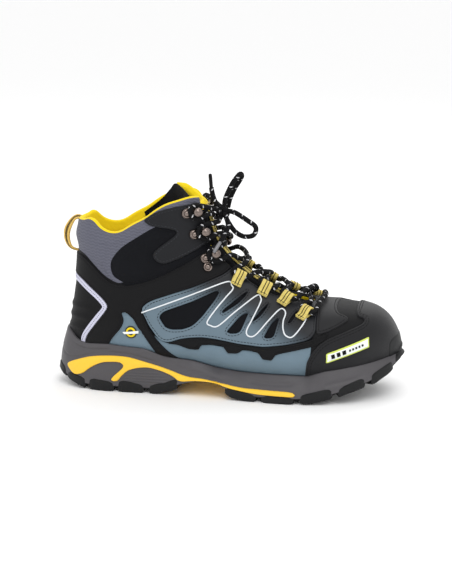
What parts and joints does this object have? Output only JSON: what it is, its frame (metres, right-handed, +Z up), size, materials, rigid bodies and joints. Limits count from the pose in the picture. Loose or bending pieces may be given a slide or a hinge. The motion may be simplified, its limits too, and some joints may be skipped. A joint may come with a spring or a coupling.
{
  "type": "hiking boot",
  "caption": "Lace-up mid-height hiking boot for a right foot, with lugged rubber sole, padded collar, webbing lace loops, speed hooks and heel pull loop.",
  "frame": {"origin": "centre of the boot's bounding box in plan, without the lace, on the ground plane", "axes": "+X from the heel to the toe, +Y towards the inner side of the foot, +Z up from the sole; the outer side of the foot faces -Y"},
  "size_m": [0.3086, 0.1062, 0.1916],
  "materials": {
    "black_nubuck": "matte black nubuck-finish microfibre, stitched",
    "black_textile": "black woven textile over thin foam",
    "grey_textile": "grey-violet collar textile with a fine embossed ripple",
    "blue_grey": "grey-blue coated microfibre, fading to black towards the laces",
    "yellow_lining": "bright yellow knitted lining over foam",
    "yellow_moulded": "satin yellow thermoplastic polyurethane",
    "grey_foam": "dark grey moulded polyurethane foam",
    "rubber": "black moulded rubber",
    "webbing": "pale yellow woven webbing with black lines",
    "reflective": "pale reflective film",
    "gunmetal": "dark nickel-plated steel",
    "lace_cord": "round braided black cord with white flecks",
    "board": "stiff pressed fibre board"
  },
  "bodies": {
    "boot": {"collar_cuff": "grey_textile", "heel_panel": "black_nubuck", "vamp": "black_nubuck", "ankle_pad_outer": "black_textile", "ankle_pad_inner": "black_textile", "side_panel_outer": "blue_grey", "side_panel_inner": "blue_grey", "mesh_panel_outer": "black_textile", "mesh_panel_inner": "black_textile", "insole_board": "board", "heel_reflective_strip": "reflective", "heel_overlay": "black_nubuck", "toe_cover": "black_nubuck", "vamp_overlay": "black_nubuck", "midfoot_band_outer": "black_nubuck", "midfoot_band_inner": "black_nubuck", "quarter_frame_outer": "blue_grey", "quarter_frame_inner": "blue_grey", "hook_stay_outer": "black_nubuck", "hook_stay_inner": "black_nubuck", "toe_label": "reflective", "heel_badge": "yellow_moulded", "lining": "yellow_lining", "toe_cap": "gunmetal", "heel_counter": "board", "footbed": "black_textile", "toe_bumper": "rubber", "shank": "gunmetal", "midsole": "grey_foam", "arch_stabiliser": "yellow_moulded", "outsole_heel": "rubber", "outsole_forefoot": "rubber", "lace": "lace_cord", "bow_knot": "lace_cord", "bow_loop_upper": "lace_cord", "bow_loop_lower": "lace_cord", "lace_end_upper": "lace_cord", "lace_end_lower": "lace_cord", "aglet_lower": "gunmetal", "aglet_upper": "gunmetal", "heel_pull_loop": "webbing", "lace_loop_outer_1": "webbing", "lace_loop_outer_2": "webbing", "lace_loop_outer_3": "webbing", "lace_loop_outer_4": "webbing", "hook_outer_1": "gunmetal", "hook_outer_2": "gunmetal", "hook_outer_3": "gunmetal", "lace_loop_inner_1": "webbing", "lace_loop_inner_2": "webbing", "lace_loop_inner_3": "webbing", "lace_loop_inner_4": "webbing", "hook_inner_1": "gunmetal", "hook_inner_2": "gunmetal", "hook_inner_3": "gunmetal"},
    "tongue": {"tongue": "black_textile", "tongue_lining": "yellow_lining", "tongue_webbing": "webbing"}
  },
  "joints": [
    {"name": "tongue_tilt", "type": "hinge", "parent": "boot", "child": "tongue", "pos_m": [0.0755, -0.001, 0.07], "axis": [0, -1, 0], "range_deg": [0, 8]}
  ]
}
